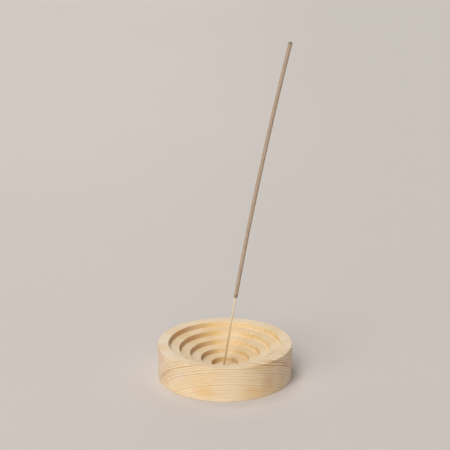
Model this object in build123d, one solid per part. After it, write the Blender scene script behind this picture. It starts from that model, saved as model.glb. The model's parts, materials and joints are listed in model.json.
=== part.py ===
from build123d import *
import os
from math import cos, degrees, radians, sin

# Incense burner: a round pine dish with a stepped hollow that catches the ash, and one
# incense stick that leans out of a slanted socket in the lowest step. The stick is bowed
# a little, as thin incense sticks are, and leans towards +X.
# Millimetres, +Z up. The origin is the centre of the dish's flat foot.

# ---- Dish ----
DISH_DIAMETER = 100.0
DISH_HEIGHT = 26.0
BASE_THICKNESS = 6.0  # wood under the lowest step
RIM_WIDTH = 8.0  # flat ring round the hollow
POCKET_DIAMETER = 20.0  # lowest and smallest step
STEP_COUNT = 5
EDGE_RADIUS = 0.4  # sanded edges

# ---- Incense stick ----
STICK_LEAN = 8.5  # degrees from upright where the stick leaves its socket
STICK_BOW_RADIUS = 3000.0  # the bow outside the socket, which adds to the lean
STICK_LENGTH = 257.0  # whole bamboo core
CORE_DIAMETER = 1.4
COATING_DIAMETER = 3.0
COATING_LENGTH = 196.0  # from the upper end of the core
COATING_EDGE = 0.25  # softened ends of the rolled paste
COATING_TIP = 1.0  # straight run at each of those ends

# ---- Socket ----
SOCKET_OFFSET = -1.0  # the mouth's centre from the dish's, along X
SOCKET_FLOOR = 1.5  # wood left under the socket
SOCKET_CLEARANCE = 0.06  # radial, round the core

# ---- Derived ----
outer_radius = DISH_DIAMETER / 2
hollow_radius = outer_radius - RIM_WIDTH
tread_width = (hollow_radius - POCKET_DIAMETER / 2) / (STEP_COUNT - 1)
step_depth = (DISH_HEIGHT - BASE_THICKNESS) / STEP_COUNT
core_radius = CORE_DIAMETER / 2
socket_radius = core_radius + SOCKET_CLEARANCE
lean = radians(STICK_LEAN)
# The socket's flat end is square to the slanted axis, so its low side lies deeper than
# its centre by the radius times the sine of the lean.
socket_depth = (BASE_THICKNESS - SOCKET_FLOOR - socket_radius * sin(lean)) / cos(lean)
stick_reach = STICK_LENGTH - socket_depth  # core outside the socket
mouth = Vector(SOCKET_OFFSET, 0, BASE_THICKNESS)
bow_centre = mouth + Vector(cos(lean), 0, -sin(lean)) * STICK_BOW_RADIUS


def stick_frame(distance):
    """The plane square to the bowed stick at a distance from the mouth, Z up the stick."""
    angle = lean + distance / STICK_BOW_RADIUS
    across = Vector(cos(angle), 0, -sin(angle))
    upwards = Vector(sin(angle), 0, cos(angle))
    return Plane(bow_centre - across * STICK_BOW_RADIUS, x_dir=across, z_dir=upwards)


def rod(radius, length):
    """An upright round bar that stands on the origin."""
    return Cylinder(radius, length, align=(Align.CENTER, Align.CENTER, Align.MIN))


def bowed_rod(radius, start, end):
    """A round bar along the stick's bow, between two distances from the mouth."""
    disc = stick_frame(start) * Circle(radius)
    turn = degrees((end - start) / STICK_BOW_RADIUS)
    return revolve(disc, Axis(bow_centre, (0, 1, 0)), turn)


def socket_rod(radius, length):
    """A straight round bar that stands on the socket's end, along the socket."""
    return stick_frame(0) * Pos(0, 0, -socket_depth) * rod(radius, length)


def step_edges():
    """Radius and height of every step's upper edge, from the rim inwards."""
    return [
        (hollow_radius - step * tread_width, DISH_HEIGHT - step * step_depth)
        for step in range(STEP_COUNT)
    ]


def make_dish():
    section = [(0, 0), (outer_radius, 0), (outer_radius, DISH_HEIGHT)]
    for radius, height in step_edges():
        section += [(radius, height), (radius, height - step_depth)]
    section.append((0, BASE_THICKNESS))
    face = make_face(Plane.XZ * Polyline(*section, close=True))
    block = revolve(face, axis=Axis.Z)

    sanded = [(outer_radius, 0), (outer_radius, DISH_HEIGHT)] + step_edges()
    rings = [
        edge
        for edge in block.edges().filter_by(GeomType.CIRCLE)
        for radius, height in sanded
        if abs(edge.radius - radius) < 0.01 and abs(edge.arc_center.Z - height) < 0.01
    ]
    block = fillet(rings, EDGE_RADIUS)
    # The cutter starts well above the pocket's floor, so that it leaves a clean mouth.
    return block - socket_rod(socket_radius, socket_depth + step_depth)


def make_stick_core():
    return socket_rod(core_radius, socket_depth) + bowed_rod(core_radius, 0, stick_reach)


def make_incense_paste():
    radius = COATING_DIAMETER / 2
    # Each end is a short straight run, tangent to the bow, that carries the soft edge.
    tip = rod(radius, COATING_TIP)
    tip = fillet(tip.edges().sort_by(Axis.Z)[-1], COATING_EDGE)
    start = stick_reach - COATING_LENGTH + COATING_TIP
    end = stick_reach - COATING_TIP
    coating = bowed_rod(radius, start, end)
    coating += stick_frame(start) * Rot(180, 0, 0) * tip
    coating += stick_frame(end) * tip
    return coating - bowed_rod(core_radius, 0, stick_reach + COATING_TIP)


os.makedirs("parts", exist_ok=True)
export_step(make_dish(), "parts/dish.step")
export_step(make_stick_core(), "parts/stick_core.step")
export_step(make_incense_paste(), "parts/incense_paste.step")
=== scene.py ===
import json
import math

import bpy
import numpy as np
from mathutils import Matrix, Vector, noise


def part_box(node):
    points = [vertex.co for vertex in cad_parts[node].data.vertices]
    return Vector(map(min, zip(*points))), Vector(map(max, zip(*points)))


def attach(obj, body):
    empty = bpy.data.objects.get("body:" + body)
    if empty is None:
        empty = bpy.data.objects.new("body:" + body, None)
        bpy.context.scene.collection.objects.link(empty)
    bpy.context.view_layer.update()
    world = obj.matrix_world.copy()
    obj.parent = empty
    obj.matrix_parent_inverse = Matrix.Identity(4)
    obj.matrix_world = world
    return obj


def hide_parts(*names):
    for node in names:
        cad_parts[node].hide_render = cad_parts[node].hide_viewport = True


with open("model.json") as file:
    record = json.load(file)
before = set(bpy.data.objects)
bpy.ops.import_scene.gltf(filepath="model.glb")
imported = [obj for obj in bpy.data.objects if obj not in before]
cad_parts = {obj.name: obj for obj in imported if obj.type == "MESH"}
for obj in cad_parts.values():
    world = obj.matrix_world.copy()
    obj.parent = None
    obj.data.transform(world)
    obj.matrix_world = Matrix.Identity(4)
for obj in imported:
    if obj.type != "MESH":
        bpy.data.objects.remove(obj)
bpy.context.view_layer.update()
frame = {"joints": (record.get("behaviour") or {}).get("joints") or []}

# Looks for the incense burner: a turned pine dish with a stepped hollow, and an incense
# stick in its slanted socket. Metres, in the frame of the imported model.

MM = 0.001

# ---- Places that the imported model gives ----
dish_low, dish_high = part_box("dish")
core_low, core_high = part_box("stick_core")
paste_low, paste_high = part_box("incense_paste")
stick_axis = Vector(frame["joints"][0]["axis"]).normalized()  # the socket's own slant
lean = math.atan2(stick_axis.x, stick_axis.z)

# ---- Dish ----
DISH_RADIUS = dish_high.x
DISH_HEIGHT = dish_high.z
BASE_THICKNESS = 6 * MM
RIM_WIDTH = 8 * MM
POCKET_RADIUS = 10 * MM
STEP_COUNT = 5
EDGE_RADIUS = 0.4 * MM  # sanded edges
CORNER_RADIUS = 0.15 * MM  # left by the cutter where a riser meets a tread
EDGE_WANDER = 0.18  # how much the hand-sanded edges vary along their length, as a share
EDGE_STEPS = 7  # points across each rounded edge
FOOT_RINGS = (4 * MM, 16 * MM, 32 * MM)  # radii of the rings that divide the flat foot
POCKET_RINGS = (0.2, 0.4, 0.6, 0.75, 0.88, 0.96)  # shares of the way in to the socket's mouth
LONGEST_FACE = 2.5 * MM
DISH_SEGMENTS = 512
SOCKET_RADIUS = 0.76 * MM
SOCKET_MOUTH = 0.12 * MM  # worn edge of the socket
MOUTH_STEPS = 4  # points across that edge
SOCKET_RINGS = (0.25, 0.5, 0.75, 1.0)  # shares of the way down the socket
SOCKET_END_RINGS = (0.6, 0.3)  # shares of the socket's radius, on its flat end

# ---- Stick ----
# Distances along the stick run from the socket's mouth: negative in the socket, and round
# the stick's bow outside it.
CORE_RADIUS = 0.7 * MM
CORE_FLATS = 0.035  # how much the core's fibres flatten it, as a share of its radius
CORE_TWIST = 3.0  # of those fibres, in radians a metre
CORE_SWELLS = 60  # a metre
CORE_END_EASE, CORE_EASED_LENGTH = 0.10 * MM, 0.25 * MM  # softening of its cut ends
CORE_RING_SPACING, CORE_SEGMENTS = 1.0 * MM, 40
PASTE_RADIUS = 1.5 * MM
PASTE_EDGE = 0.25 * MM
PASTE_GRAIN = 0.03 * MM  # depth of the grain in its surface
PASTE_GRAINS = 1500  # a metre
PASTE_SWELL = 0.05 * MM  # how much its radius varies along it
PASTE_SWELLS = 45  # a metre
PASTE_RING_SPACING, PASTE_SEGMENTS = 0.3 * MM, 48
PASTE_FIT = 0.96  # the paste's ends close in to this share of the core's radius, inside it
BOW_RADIUS = 3000 * MM
SOCKET_OFFSET = -1.0 * MM  # the mouth's centre from the dish's, along X
mouth = Vector((SOCKET_OFFSET, 0, BASE_THICKNESS))
bow_centre = mouth + Vector((math.cos(lean), 0, -math.sin(lean))) * BOW_RADIUS


def bow_distance(height):
    """How far up the bowed stick its axis is at a height."""
    return BOW_RADIUS * (math.asin((height - bow_centre.z) / BOW_RADIUS) - lean)


socket_depth = (mouth.z - core_low.z - CORE_RADIUS * math.sin(lean)) / math.cos(lean)
tip_slant = math.asin((core_high.z - bow_centre.z) / (BOW_RADIUS + CORE_RADIUS))
core_end = BOW_RADIUS * (tip_slant - lean)
paste_slant = lean + bow_distance(paste_low.z) / BOW_RADIUS
paste_start = bow_distance(
    paste_low.z
    + PASTE_EDGE * (1 - math.cos(paste_slant))
    + (PASTE_RADIUS - PASTE_EDGE) * math.sin(paste_slant)
)

# ---- Camera ----
CAMERA_DISTANCE = 1.3  # from its pivot
CAMERA_PIVOT = 15 * MM  # height on the dish's axis
CAMERA_ELEVATION = math.radians(22.86)
CAMERA_PITCH = math.radians(18.54)
CAMERA_YAW = math.radians(0.012)
CAMERA_ROLL = math.radians(-0.137)
CAMERA_SENSOR = 36.0  # width in millimetres
CAMERA_LENS = 138.7
CAMERA_CLIP = (0.05, 30.0)


def wander(angles, waves, seed):
    """A smooth closed curve of values from about -1 to 1 round a circle."""
    rng = np.random.default_rng(seed)
    total = np.zeros_like(angles)
    for wave in waves:
        total += rng.uniform(0.5, 1.0) * np.sin(wave * angles + rng.uniform(0, 2 * math.pi))
    return total / math.sqrt(len(waves))


def new_piece(name, rings, start, end, material):
    """A smooth mesh from rings of equal length, each an (n, 3) array.

    A fan of triangles to the point start closes the first ring, and one to the point end
    closes the last. Where end is None the last ring stays open.
    """
    count = len(rings[0])
    points = [tuple(p) for ring in rings for p in ring]
    faces = []
    for row in range(len(rings) - 1):
        for i in range(count):
            j = (i + 1) % count
            a, b = row * count, (row + 1) * count
            faces.append((a + i, a + j, b + j, b + i))
    for pole, row in ((start, 0), (end, len(rings) - 1)):
        if pole is None:
            continue
        points.append(tuple(pole))
        centre, base = len(points) - 1, row * count
        for i in range(count):
            j = (i + 1) % count
            fan = (centre, base + j, base + i) if row == 0 else (centre, base + i, base + j)
            faces.append(fan)
    mesh = bpy.data.meshes.new(name)
    mesh.from_pydata(points, [], faces)
    mesh.validate()
    mesh.polygons.foreach_set("use_smooth", [True] * len(mesh.polygons))
    piece = bpy.data.objects.new(name, mesh)
    bpy.context.scene.collection.objects.link(piece)
    mesh.materials.append(material)
    return piece


# ---------------------------------------------------------------- dish

def rounded(before, corner, after, radius, steps):
    """Columns of an arc that rounds a corner of the section. radius is one value per angle."""
    before, corner, after = (np.array(p, float) for p in (before, corner, after))
    back = (before - corner) / np.linalg.norm(before - corner)
    on = (after - corner) / np.linalg.norm(after - corner)
    centre = corner + radius[:, None] * (back + on)
    arc = []
    for t in np.linspace(0, math.pi / 2, steps):
        arc.append(centre - radius[:, None] * (math.sin(t) * back + math.cos(t) * on))
    return arc


def dish_section(angles):
    """The dish's section, from the foot's edge round to the pocket's floor.

    It is a list of columns, each with one row of (radius, height) for every angle.
    """
    tread = (DISH_RADIUS - RIM_WIDTH - POCKET_RADIUS) / (STEP_COUNT - 1)
    riser = (DISH_HEIGHT - BASE_THICKNESS) / STEP_COUNT
    corners = [
        ((0, 0), None),
        ((DISH_RADIUS, 0), EDGE_RADIUS),
        ((DISH_RADIUS, DISH_HEIGHT), EDGE_RADIUS),
    ]
    for step in range(STEP_COUNT):
        radius = DISH_RADIUS - RIM_WIDTH - step * tread
        top = DISH_HEIGHT - step * riser
        corners.append(((radius, top), EDGE_RADIUS))
        corners.append(((radius, top - riser), CORNER_RADIUS))
    corners.append(((0, BASE_THICKNESS), None))

    columns = []
    for i in range(1, len(corners) - 1):
        (before, _), (corner, ease), (after, _) = corners[i - 1], corners[i], corners[i + 1]
        radius = ease * (1 + EDGE_WANDER * wander(angles, (3, 5, 8, 13, 21), seed=i))
        columns += rounded(before, corner, after, radius, EDGE_STEPS)
    return columns


def filled(columns, longest):
    """The same columns with more between them, so that no two are further apart than longest."""
    result = [columns[0]]
    for column in columns[1:]:
        last = result[-1]
        gap = float(np.linalg.norm(column - last, axis=1).max())
        parts = max(1, math.ceil(gap / longest))
        for part in range(1, parts + 1):
            result.append(last + (column - last) * part / parts)
    return result


def make_dish(material):
    angles = np.linspace(0, 2 * math.pi, DISH_SEGMENTS, endpoint=False)
    section = dish_section(angles)
    level = np.zeros_like(angles)
    foot = [np.column_stack((np.full_like(angles, radius), level)) for radius in FOOT_RINGS]
    columns = filled(foot + section, longest=LONGEST_FACE)
    circle = np.column_stack((np.cos(angles), np.sin(angles)))
    rings = [np.column_stack((circle * column[:, :1], column[:, 1])) for column in columns]

    # The pocket's floor runs in to the socket's mouth, which is an ellipse because the drill
    # came in at a slant.
    centre, side, axis = stick_frame(0.0)
    round_bore = np.outer(circle[:, 0], side) + np.outer(circle[:, 1], (0, 1, 0))

    def cut_square(radius, drop):
        """The bore's ring where a level plane cuts it, drop below the pocket's floor."""
        slant = np.outer(radius * circle[:, 0] * math.tan(lean) - drop / math.cos(lean), axis)
        return centre + radius * round_bore + slant

    floor_edge = rings[-1]
    lip = cut_square(SOCKET_RADIUS + SOCKET_MOUTH, 0.0)
    for share in POCKET_RINGS:
        rings.append(floor_edge + (lip - floor_edge) * share)
    for turn in np.linspace(0, math.pi / 2, MOUTH_STEPS):
        ease = SOCKET_MOUTH * (1 - math.sin(turn))
        rings.append(cut_square(SOCKET_RADIUS + ease, SOCKET_MOUTH * (1 - math.cos(turn))))
    for share in SOCKET_RINGS:
        rings.append(centre - axis * socket_depth * share + SOCKET_RADIUS * round_bore)
    socket_end = centre - axis * socket_depth
    for share in SOCKET_END_RINGS:
        rings.append(socket_end + share * SOCKET_RADIUS * round_bore)
    dish = new_piece("turned_dish", rings, (0, 0, 0), tuple(socket_end), material)
    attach(dish, "dish")
    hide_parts("dish")


# ---------------------------------------------------------------- stick

def stick_frame(distance):
    """The stick's centre, its cross direction in the plane of the bow, and its own direction."""
    slant = lean + max(distance, 0.0) / BOW_RADIUS
    side = np.array((math.cos(slant), 0, -math.sin(slant)))
    axis = np.array((math.sin(slant), 0, math.cos(slant)))
    return np.array(bow_centre) - side * BOW_RADIUS + axis * min(distance, 0.0), side, axis


def stick_ring(distance, radius, segments):
    """A ring round the stick. radius is one value, or a function of the distance and angles."""
    angles = np.linspace(0, 2 * math.pi, segments, endpoint=False)
    centre, side, _ = stick_frame(distance)
    radius = radius(distance, angles) if callable(radius) else np.full(segments, radius)
    across = np.outer(radius * np.cos(angles), side)
    return centre + across + np.outer(radius * np.sin(angles), (0, 1, 0))


def stick_rings(radius, start, end, spacing, segments):
    """Rings round the stick between two distances, about this far apart."""
    places = np.linspace(start, end, max(2, round((end - start) / spacing) + 1))
    return [stick_ring(distance, radius, segments) for distance in places]


def make_core(material):
    """The bamboo splint, nearly round, with the flats and ridges of its fibres."""

    def radius_at(distance, angles):
        twist = angles + CORE_TWIST * distance
        ridges = wander(twist, (5, 9, 14, 19), seed=11)
        swell = noise.noise(Vector((distance * CORE_SWELLS, 3.7, 0)))
        from_end = min(distance + socket_depth, core_end - distance)
        ease = CORE_END_EASE * max(0.0, 1 - from_end / CORE_EASED_LENGTH)
        return CORE_RADIUS * (1 - CORE_FLATS * (0.6 + 0.4 * ridges + 0.3 * swell)) - ease

    rings = stick_rings(radius_at, -socket_depth, core_end, CORE_RING_SPACING, CORE_SEGMENTS)
    ends = [tuple(stick_frame(distance)[0]) for distance in (-socket_depth, core_end)]
    core = new_piece("bamboo_core", rings, *ends, material)
    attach(core, "incense_stick")
    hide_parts("stick_core")


def make_paste(material):
    """The rolled paste: grainy, faintly uneven along its length, with softened ends."""

    def radius_at(distance, angles):
        x = PASTE_RADIUS * np.cos(angles)
        y = PASTE_RADIUS * np.sin(angles)
        values = [
            noise.fractal(Vector((a, b, distance)) * PASTE_GRAINS, 0.8, 2.2, 3)
            for a, b in zip(x, y)
        ]
        slow = noise.noise(Vector((0.3, 8.1, distance * PASTE_SWELLS)))
        from_end = min(distance - paste_start, core_end - distance)
        rounding = 0.0
        if from_end < PASTE_EDGE:
            reach = PASTE_EDGE**2 - (PASTE_EDGE - from_end) ** 2
            rounding = PASTE_EDGE - math.sqrt(max(0.0, reach))
        relief = PASTE_GRAIN * (np.clip(np.array(values), -1, 1) - 1)
        return PASTE_RADIUS + relief - PASTE_SWELL * (0.5 + 0.5 * slow) - rounding

    rings = stick_rings(radius_at, paste_start, core_end, PASTE_RING_SPACING, PASTE_SEGMENTS)
    rings.insert(0, stick_ring(paste_start, CORE_RADIUS * PASTE_FIT, PASTE_SEGMENTS))
    rings.append(stick_ring(core_end, CORE_RADIUS * PASTE_FIT, PASTE_SEGMENTS))
    ends = [tuple(stick_frame(distance)[0]) for distance in (paste_start, core_end)]
    paste = new_piece("rolled_paste", rings, *ends, material)
    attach(paste, "incense_stick")
    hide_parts("incense_paste")


# ---------------------------------------------------------------- shader helpers

def linear(red, green, blue):
    """An sRGB colour of 0 to 255 as Blender's linear RGBA."""
    def one(value):
        value /= 255
        return value / 12.92 if value <= 0.04045 else ((value + 0.055) / 1.055) ** 2.4
    return (one(red), one(green), one(blue), 1.0)


class Nodes:
    """Adds nodes to one material.

    Any input may be a number, a colour, a vector or another node's output.
    """

    def __init__(self, name):
        self.material = bpy.data.materials.new(name)
        self.material.use_nodes = True
        self.tree = self.material.node_tree
        self.shader = self.tree.nodes["Principled BSDF"]

    def put(self, value, socket):
        if isinstance(value, bpy.types.NodeSocket):
            self.tree.links.new(value, socket)
        elif value is not None:
            socket.default_value = value

    def add(self, kind, *values, inputs=None, **settings):
        """A node with these settings. Values go to its inputs in order; inputs names others."""
        node = self.tree.nodes.new(kind)
        for key, value in settings.items():
            setattr(node, key, value)
        for value, socket in zip(values, node.inputs):
            self.put(value, socket)
        for key, value in (inputs or {}).items():
            self.put(value, node.inputs[key])
        return node

    def math(self, operation, a, b=None, c=None):
        return self.add("ShaderNodeMath", a, b, c, operation=operation).outputs[0]

    def vector(self, operation, a, b=None):
        return self.add("ShaderNodeVectorMath", a, b, operation=operation).outputs[0]

    def noise(self, vector, scale, detail=2.0, roughness=0.5, w=None):
        """Noise in space, or along w where vector is None."""
        node = self.add("ShaderNodeTexNoise", noise_dimensions="1D" if vector is None else "3D")
        if vector is None:
            self.put(w, node.inputs["W"])
        else:
            self.put(vector, node.inputs["Vector"])
        self.put(scale, node.inputs["Scale"])
        self.put(detail, node.inputs["Detail"])
        self.put(roughness, node.inputs["Roughness"])
        return node.outputs["Fac"]

    def remap(self, value, low, high, to_low=0.0, to_high=1.0, smooth=False):
        """The value's place between low and high, carried over to to_low and to_high."""
        kind = "SMOOTHSTEP" if smooth else "LINEAR"
        return self.add(
            "ShaderNodeMapRange", value, low, high, to_low, to_high, interpolation_type=kind
        ).outputs[0]

    def mix(self, factor, a, b, blend="MIX"):
        node = self.add("ShaderNodeMix", data_type="RGBA", blend_type=blend)
        self.put(factor, node.inputs[0])
        self.put(a, node.inputs[6])
        self.put(b, node.inputs[7])
        return node.outputs[2]

    def set(self, name, value):
        """Sets or links an input of the material's shader."""
        self.put(value, self.shader.inputs[name])

    def millimetres(self):
        """The place on the piece, in millimetres."""
        place = self.add("ShaderNodeTexCoord").outputs["Object"]
        return self.vector("MULTIPLY", place, (1 / MM, 1 / MM, 1 / MM))

    def product(self, a, b):
        return self.math("MULTIPLY", a, b)

    def rest(self, value):
        """What is left of 1."""
        return self.math("SUBTRACT", 1.0, value)

    def tint(self, factor, colour, share):
        """Keeps these shares of the colour's red, green and blue."""
        return self.mix(factor, colour, (*share, 1.0), "MULTIPLY")

    def bump(self, height, distance, strength):
        node = self.add("ShaderNodeBump")
        self.put(strength, node.inputs["Strength"])
        self.put(distance, node.inputs["Distance"])
        self.put(height, node.inputs["Height"])
        return node.outputs[0]


# ---------------------------------------------------------------- materials

# The growth rings are circles round the tree's pith, which runs roughly along X and bows.
# Its place at x is a polynomial in x / PITH_UNIT, from the lowest power up, in millimetres.
PITH_UNIT = 50.0
PITH_Y = (-61.0, 2.0, 18.7, 4.0)
PITH_Z = (-15.3, 0.0, -13.3, 0.0)
RING_SPACING = 1.6  # millimetres from one ring to the next
LATE_FROM, LATE_FULL, LATE_STOP = 0.42, 0.88, 0.90  # when latewood darkens, in shares of a year
WEAKEST_YEAR = 0.42  # the share of its latewood that the weakest year shows
DRY_YEARS = (42.3, 46.8)  # from the pith: a run of years with narrow dark rings
DRY_FADE = 1.5  # how far that run fades in and out
HOLLOW_RADIUS = (DISH_RADIUS - RIM_WIDTH) / MM

PALE_WOOD = linear(230, 210, 178)
GOLDEN_WOOD = linear(226, 197, 152)
LATE_WOOD = linear(186, 146, 100)
RESIN = linear(160, 112, 70)

# Shares of red, green and blue that are left where the colour changes.
SAPWOOD = (1.01, 1.035, 1.14)
SAPWOOD_FROM, SAPWOOD_FULL = 34.0, 50.0  # millimetres to either side of the middle
# Painted shade: the next two tints are for the risers that face away from the key light.
SHADED_RISER_GOLD = (1.0, 0.965, 0.72)
SHADED_RISER_DARK = (0.82, 0.72, 0.86)
RISER_MOTTLE = (0.86, 0.82, 0.60)

# Patches where the colour differs: centre and half-widths in millimetres, then the share
# of red, green and blue that is left at the centre. Those marked so are painted shade.
PATCHES = (
    ((-15.0, -47.5, 6.5), (10.0, 9.0, 4.5), (0.98, 0.86, 0.67)),  # resin-soaked, golden
    ((19.0, -46.0, 5.5), (12.0, 9.0, 5.0), (0.98, 0.88, 0.72)),
    ((31.5, -39.0, 12.0), (7.5, 7.5, 9.0), (0.91, 0.81, 0.74)),  # darker, red-brown: painted shade where the wall turns away from the key light
    ((42.0, -27.0, 14.0), (8.0, 10.0, 14.0), (0.97, 0.91, 0.88)),
    ((8.0, -46.0, 26.0), (36.0, 7.0, 2.5), (0.98, 0.95, 0.92)),  # warmer stretches of rim
    ((-33.0, 32.0, 26.0), (16.0, 12.0, 2.5), (0.97, 0.92, 0.89)),
    ((0.0, 7.5, 8.5), (14.0, 6.0, 2.6), (0.93, 0.88, 0.78)),  # the pocket's back wall
    ((-46.5, -18.0, 20.0), (4.0, 6.0, 4.0), (0.96, 0.88, 0.80)),  # a brown spot
    ((-31.0, -39.5, 14.0), (8.0, 8.0, 7.0), (0.99, 1.00, 1.06)),  # bleached
    ((-47.0, -17.0, 6.0), (6.0, 9.0, 9.0), (1.0, 1.05, 1.14)),
)

# Pitch streaks, which follow a ring: its distance from the pith and half-width, the patch
# they keep to, and the share of red, green and blue that is left.
PITCH_STREAKS = (
    (49.4, 0.6, (37.0, -33.5, 25.0), (8.0, 8.0, 4.0), (0.70, 0.60, 0.54)),
    (45.2, 0.5, (-44.5, -22.5, 11.0), (8.0, 15.0, 11.0), (0.82, 0.70, 0.66)),
    (46.9, 0.5, (-44.5, -22.5, 11.0), (8.0, 15.0, 11.0), (0.82, 0.70, 0.66)),
    (47.6, 0.6, (44.5, -22.5, 18.0), (5.0, 8.0, 5.0), (0.80, 0.71, 0.66)),
)


def polynomial(nodes, x, factors):
    total = factors[-1]
    for factor in factors[-2::-1]:
        total = nodes.math("MULTIPLY_ADD", x, total, factor)
    return total


def slope(factors):
    """The factors of the same polynomial's slope, per millimetre."""
    return tuple(power * factor / PITH_UNIT for power, factor in enumerate(factors) if power)


def distance_from(nodes, a, b):
    """The distance from an axis, from the two coordinates square to it."""
    return nodes.math("SQRT", nodes.math("MULTIPLY_ADD", a, a, nodes.product(b, b)))


PATCH_FULL, PATCH_GONE = 0.2, 1.3  # shares of its half-widths between which a patch fades


def patch(nodes, place, centre, size):
    """1 at the centre of a soft patch and 0 outside it."""
    apart = nodes.vector("DIVIDE", nodes.vector("SUBTRACT", place, centre), size)
    apart = nodes.add("ShaderNodeVectorMath", apart, operation="LENGTH").outputs["Value"]
    return nodes.remap(apart, PATCH_FULL, PATCH_GONE, 1.0, 0.0, smooth=True)


def make_pine():
    n = Nodes("pine")
    place = n.millimetres()
    x, y, z = n.add("ShaderNodeSeparateXYZ", place).outputs
    along = n.math("DIVIDE", x, PITH_UNIT)
    off_y = n.math("SUBTRACT", y, polynomial(n, along, PITH_Y))
    off_z = n.math("SUBTRACT", z, polynomial(n, along, PITH_Z))
    # In this space the fibres run along X.
    straight = n.add("ShaderNodeCombineXYZ", x, off_y, off_z).outputs[0]

    def fibrous(lengthwise, crosswise, detail=2.0, roughness=0.5):
        """Noise drawn out along the fibres, with these scales per millimetre."""
        scaled = n.vector("MULTIPLY", straight, (lengthwise, crosswise, crosswise))
        return n.noise(scaled, 1.0, detail, roughness)

    # Distance from the pith, made uneven as growth is.
    distance = distance_from(n, off_y, off_z)
    slow = fibrous(0.012, 0.035)
    quick = fibrous(0.06, 0.22)
    uneven = n.math("MULTIPLY_ADD", slow, 2.0, n.math("MULTIPLY_ADD", quick, 0.7, -1.35))
    radius = n.math("ADD", distance, uneven)
    pace = n.noise(None, 0.17, 1.0, w=radius)
    count = n.math("ADD", n.math("DIVIDE", radius, RING_SPACING), n.product(pace, 1.4))
    ring = n.math("FLOOR", count)
    phase = n.math("FRACT", count)
    vigour = n.add(
        "ShaderNodeTexWhiteNoise", noise_dimensions="1D", inputs={"W": ring}
    ).outputs["Value"]

    # Latewood darkens towards the end of each year and stops short. It is strongest in the
    # dry years, and faint near the pith and in the wide rings far from it.
    rise = n.remap(phase, LATE_FROM, LATE_FULL, smooth=True)
    stop = n.remap(phase, LATE_STOP, 1.0, 1.0, 0.0, smooth=True)
    late = n.product(rise, stop)
    late = n.product(late, n.remap(vigour, 0.0, 1.0, WEAKEST_YEAR, 1.0))
    drift = n.math("SUBTRACT", radius, n.remap(x, 15.0, 40.0, 0.0, 3.0))
    dry_start, dry_end = DRY_YEARS
    dry = n.product(
        n.remap(drift, dry_start - DRY_FADE, dry_start, smooth=True),
        n.remap(drift, dry_end, dry_end + DRY_FADE, 1.0, 0.0, smooth=True),
    )
    near, far = n.remap(radius, 20.0, 50.0, 0.5, 1.4), n.remap(radius, 58.0, 84.0, 1.0, 0.3)
    strength = n.math("MULTIPLY_ADD", dry, 0.7, n.product(near, far))
    break_up = n.remap(fibrous(0.05, 0.30), 0.3, 0.7, 0.55, 1.3)
    late = n.product(late, n.product(strength, break_up))

    # Fibres: long thin streaks, which the end grain cuts into dots.
    streak = fibrous(0.03, 1.3, 3.0, 0.6)
    fibre = fibrous(0.12, 6.0, 3.0, 0.65)
    cloud = fibrous(0.03, 0.07, 3.0)

    # How squarely the surface cuts the fibres, and where it is a riser of the hollow.
    slopes = [polynomial(n, along, slope(factors)) for factors in (PITH_Y, PITH_Z)]
    direction = n.add("ShaderNodeCombineXYZ", 1.0, *slopes).outputs[0]
    direction = n.vector("NORMALIZE", direction)
    normal = n.add("ShaderNodeTexCoord").outputs["Normal"]
    facing = n.add(
        "ShaderNodeVectorMath", normal, direction, operation="DOT_PRODUCT"
    ).outputs["Value"]
    tilt = n.math("ABSOLUTE", n.add("ShaderNodeSeparateXYZ", normal).outputs[2])
    upright = n.remap(tilt, 0.3, 0.7, 1.0, 0.0)
    inside = n.remap(distance_from(n, x, y), HOLLOW_RADIUS + 0.6, HOLLOW_RADIUS + 1.2, 1.0, 0.0)
    riser = n.product(upright, inside)
    late = n.product(late, n.remap(riser, 0.0, 1.0, 1.0, 0.4))
    # Level faces are cut along the fibres and sanded most, so their lines are faint but for
    # the front right, where the rings come to the surface steeply.
    level = n.product(n.rest(upright), n.remap(x, 8.0, 34.0, 0.65, 0.3))
    late = n.product(late, n.rest(level))

    colour = n.mix(n.remap(cloud, 0.36, 0.66), PALE_WOOD, GOLDEN_WOOD)
    sapwood = n.remap(n.math("ABSOLUTE", x), SAPWOOD_FROM, SAPWOOD_FULL)
    sapwood = n.product(sapwood, n.rest(riser))
    colour = n.tint(sapwood, colour, SAPWOOD)
    # Risers that face +X, away from the key light, get painted shade: golden and darker, as
    # light bounced off the wood would leave them. Risers on the other side are mottled.
    colour = n.tint(n.product(riser, n.remap(facing, 0.0, 0.3)), colour, SHADED_RISER_GOLD)
    colour = n.tint(n.product(riser, n.remap(facing, 0.25, 0.85)), colour, SHADED_RISER_DARK)
    pores = n.noise(n.vector("MULTIPLY", place, (0.6, 0.6, 0.5)), 1.0, 2.0, 0.55)
    pores = n.remap(pores, 0.38, 0.62, 0.05, 1.0)
    mottle = n.product(riser, n.product(n.remap(facing, -0.3, -0.75), pores))
    colour = n.tint(mottle, colour, RISER_MOTTLE)
    colour = n.mix(n.product(late, 0.75), colour, LATE_WOOD)
    for centre, size, share in PATCHES:
        colour = n.tint(patch(n, place, centre, size), colour, share)
    wavy = n.math("ADD", distance, n.math("MULTIPLY_ADD", quick, 1.2, -0.6))
    for ring_radius, half_width, centre, size, share in PITCH_STREAKS:
        off_ring = n.math("ABSOLUTE", n.math("SUBTRACT", wavy, ring_radius))
        line = n.remap(off_ring, half_width * 0.4, half_width, 1.0, 0.0, smooth=True)
        colour = n.tint(n.product(line, patch(n, place, centre, size)), colour, share)
    shade = n.math(
        "ADD", n.remap(streak, 0.3, 0.7, -0.05, 0.05), n.remap(fibre, 0.3, 0.7, -0.045, 0.045)
    )
    grey = n.math("ADD", shade, 1.0)
    grey = n.add("ShaderNodeCombineColor", grey, grey, grey).outputs[0]
    colour = n.mix(1.0, colour, grey, "MULTIPLY")

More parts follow.
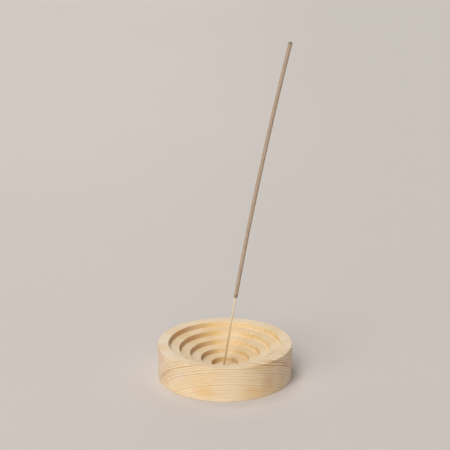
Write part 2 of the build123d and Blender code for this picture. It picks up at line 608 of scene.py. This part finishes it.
    # Resin canals: sparse short dark dashes, mostly in the latewood.
    canal = fibrous(0.25, 2.6, 1.0)
    canal = n.product(n.remap(canal, 0.68, 0.76), n.remap(late, 0.0, 0.6, 0.3, 1.0))
    colour = n.mix(n.product(canal, 0.55), colour, RESIN)
    n.set("Base Color", colour)

    # Latewood is denser: a little glossier, and proud of the softer wood after sanding.
    rough = n.math("SUBTRACT", n.remap(fibre, 0.3, 0.7, 0.54, 0.66), n.product(late, 0.08))
    n.set("Roughness", rough)
    n.set("IOR", 1.48)
    height = n.math("ADD", n.product(late, 0.6), n.product(fibre, 0.9))
    height = n.math("SUBTRACT", height, canal)
    n.set("Normal", n.bump(height, 0.05 * MM, 0.5))
    return n.material


BAMBOO_PALE, BAMBOO_DEEP = linear(233, 219, 194), linear(216, 199, 170)
BAMBOO_BAND = linear(202, 182, 150)
BAMBOO_LOW_BROWN = linear(200, 163, 108)  # darker and browner towards the bottom, near the socket
LOW_BROWN_HEIGHTS = (34.0, 62.0)  # millimetres, from full to none


def make_bamboo():
    n = Nodes("bamboo")
    place = n.add("ShaderNodeTexCoord").outputs["Object"]
    turn = n.add(
        "ShaderNodeVectorRotate", place, rotation_type="Y_AXIS", inputs={"Angle": -lean}
    ).outputs[0]
    along = n.vector("MULTIPLY", turn, (1 / MM, 1 / MM, 1 / MM))
    fibre = n.noise(n.vector("MULTIPLY", along, (7.0, 7.0, 0.10)), 1.0, 3.0, 0.6)
    band = n.noise(n.vector("MULTIPLY", along, (1.5, 1.5, 0.05)), 1.0, 2.0)
    colour = n.mix(n.remap(fibre, 0.35, 0.65), BAMBOO_PALE, BAMBOO_DEEP)
    colour = n.mix(n.remap(band, 0.45, 0.7, 0.0, 0.5), colour, BAMBOO_BAND)
    height = n.add("ShaderNodeSeparateXYZ", n.millimetres()).outputs[2]
    # Darker and browner towards the bottom of the core.
    uneven_height = n.math("MULTIPLY_ADD", band, 12.0, height)
    low_brown = n.remap(uneven_height, *LOW_BROWN_HEIGHTS, 0.75, 0.0, smooth=True)
    colour = n.mix(low_brown, colour, BAMBOO_LOW_BROWN)
    n.set("Base Color", colour)
    n.set("Roughness", n.remap(fibre, 0.3, 0.7, 0.45, 0.62))
    n.set("Normal", n.bump(fibre, 0.04 * MM, 0.6))
    return n.material


PASTE_PALE, PASTE_DEEP = linear(184, 161, 139), linear(156, 134, 114)
PASTE_SPECK, PASTE_DARK = linear(208, 189, 168), linear(112, 94, 80)
TOP_CRUST, LOW_CRUST, FULL_CRUST = 3.5, 5.0, 0.5  # millimetres from the paste's cut ends


def make_incense():
    n = Nodes("incense_paste")
    place = n.millimetres()
    coarse = n.noise(place, 1.1, 3.0, 0.6)
    fine = n.noise(place, 5.0, 4.0, 0.7)
    colour = n.mix(n.remap(coarse, 0.35, 0.65), PASTE_PALE, PASTE_DEEP)
    speck = n.remap(n.noise(place, 3.2, 2.0), 0.58, 0.66)
    colour = n.mix(n.product(speck, 0.55), colour, PASTE_SPECK)
    elsewhere = n.vector("ADD", place, (31.0, 7.0, 3.0))  # so that dark specks miss pale ones
    dark = n.remap(n.noise(elsewhere, 3.6, 2.0), 0.60, 0.68)
    colour = n.mix(n.product(dark, 0.6), colour, PASTE_DARK)
    # The paste dried harder and darker where it was cut.
    height = n.add("ShaderNodeSeparateXYZ", place).outputs[2]
    top, bottom = paste_high.z / MM, paste_low.z / MM
    top_end = n.remap(height, top - TOP_CRUST, top - FULL_CRUST, smooth=True)
    low_end = n.remap(height, bottom + LOW_CRUST, bottom + FULL_CRUST, smooth=True)
    ends = n.product(n.math("MAXIMUM", top_end, low_end), 0.55)
    colour = n.mix(ends, colour, PASTE_DARK)
    n.set("Base Color", colour)
    n.set("Roughness", n.remap(fine, 0.3, 0.7, 0.78, 0.95))
    n.set("Normal", n.bump(n.math("ADD", fine, n.product(coarse, 0.6)), 0.08 * MM, 0.7))
    return n.material


# Painted light: the paper is painted a little darker to the right and paler at the far left,
# nearer the key light.
PAPER_LEFT, PAPER_RIGHT = linear(208, 200, 194), linear(204, 196, 190)
PAPER_FAR, PAPER_CLOUD = linear(213, 204, 197), linear(203, 195, 189)
TURN_TO_RIGHT = (-0.2, 0.2)  # along X
TURN_TO_FAR = (0.25, 0.75)  # along Y


def make_backdrop_paper():
    n = Nodes("backdrop_paper")
    place = n.add("ShaderNodeTexCoord").outputs["Object"]
    soft = n.noise(place, 3.0, 3.0)
    tooth = n.noise(place, 900.0, 2.0)
    across, depth = n.add("ShaderNodeSeparateXYZ", place).outputs[:2]
    # Painted light across the paper: darker to the right, paler at the far left.
    rightwards = n.remap(across, *TURN_TO_RIGHT, smooth=True)
    colour = n.mix(rightwards, PAPER_LEFT, PAPER_RIGHT)
    far_left_light = n.product(n.remap(depth, *TURN_TO_FAR, smooth=True), n.rest(rightwards))
    colour = n.mix(far_left_light, colour, PAPER_FAR)
    colour = n.mix(n.remap(soft, 0.3, 0.7, 0.0, 0.3), colour, PAPER_CLOUD)
    n.set("Base Color", colour)
    n.set("Roughness", n.remap(tooth, 0.3, 0.7, 0.85, 0.95))
    n.set("Specular IOR Level", 0.2)
    n.set("Normal", n.bump(tooth, 0.05 * MM, 0.2))
    return n.material


# ---------------------------------------------------------------- studio

PAPER_RINGS = (0.3, 1.0, 4.0, 12.0)  # radii
PAPER_SEGMENTS = 96


def make_stage(material):
    """A level paper floor, wide enough to reach the horizon."""
    angles = np.linspace(0, 2 * math.pi, PAPER_SEGMENTS, endpoint=False)
    circle = np.column_stack((np.cos(angles), np.sin(angles)))
    rings = [np.column_stack((circle * r, np.zeros(len(angles)))) for r in PAPER_RINGS]
    floor = new_piece("backdrop", rings, (0, 0, 0), None, material)
    floor.data.flip_normals()


# Distant softboxes: name, azimuth (0 in front at -Y, 90 at the right, +X), elevation, share.
SOFTBOXES = (
    ("key", -30, 45, 0.36),
    ("key_low", -45, 20, 0.22),
    ("key_high", -30, 68, 0.26),
    ("front_low", 0, 20, 0.165),
    ("right_back", 135, 45, 0.085),
    ("back_low", 180, 20, 0.085),
    ("back_top", -150, 68, 0.20),
)
SOFTBOX_SPREAD = math.radians(24)
AIR_COLOUR = (1.05, 0.99, 0.94, 1.0)
HORIZON_GLOW = 0.63  # bright surroundings, which fade out above 27 degrees
GLOW_FULL, GLOW_GONE = 0.20, 0.45  # sines of the elevations between which they fade


def make_lights():
    for name, azimuth, elevation, share in SOFTBOXES:
        turn, rise = math.radians(azimuth), math.radians(elevation)
        level = Vector((math.sin(turn), -math.cos(turn), 0))
        way = level * math.cos(rise) + Vector((0, 0, math.sin(rise)))
        data = bpy.data.lights.new(name, "SUN")
        data.energy, data.angle = math.pi * share, SOFTBOX_SPREAD
        light = bpy.data.objects.new(name, data)
        light.location = way * 2
        light.rotation_euler = (-way).to_track_quat("-Z", "Y").to_euler()
        bpy.context.scene.collection.objects.link(light)

    world = bpy.data.worlds.new("studio_air")
    world.use_nodes = True
    tree = world.node_tree
    background = tree.nodes["Background"]
    background.inputs["Color"].default_value = AIR_COLOUR
    split = tree.nodes.new("ShaderNodeSeparateXYZ")
    fade = tree.nodes.new("ShaderNodeMapRange")
    for socket, value in zip(fade.inputs[1:5], (GLOW_FULL, GLOW_GONE, HORIZON_GLOW, 0.0)):
        socket.default_value = value
    tree.links.new(tree.nodes.new("ShaderNodeTexCoord").outputs["Generated"], split.inputs[0])
    tree.links.new(split.outputs["Z"], fade.inputs["Value"])
    tree.links.new(fade.outputs["Result"], background.inputs["Strength"])
    bpy.context.scene.world = world


def make_camera():
    data = bpy.data.cameras.new("camera")
    data.lens, data.sensor_width = CAMERA_LENS, CAMERA_SENSOR
    data.clip_start, data.clip_end = CAMERA_CLIP
    camera = bpy.data.objects.new("camera", data)
    back = Vector((0, -math.cos(CAMERA_ELEVATION), math.sin(CAMERA_ELEVATION)))
    place = Vector((0, 0, CAMERA_PIVOT)) + back * CAMERA_DISTANCE
    camera.matrix_world = (
        Matrix.Translation(place)
        @ Matrix.Rotation(-CAMERA_YAW, 4, "Z")
        @ Matrix.Rotation(math.pi / 2 - CAMERA_PITCH, 4, "X")
        @ Matrix.Rotation(CAMERA_ROLL, 4, "Z")
    )
    bpy.context.scene.collection.objects.link(camera)
    bpy.context.scene.camera = camera


make_camera()
make_lights()
make_stage(make_backdrop_paper())
make_dish(make_pine())
make_core(make_bamboo())
make_paste(make_incense())
bpy.context.scene.view_settings.view_transform = "Standard"
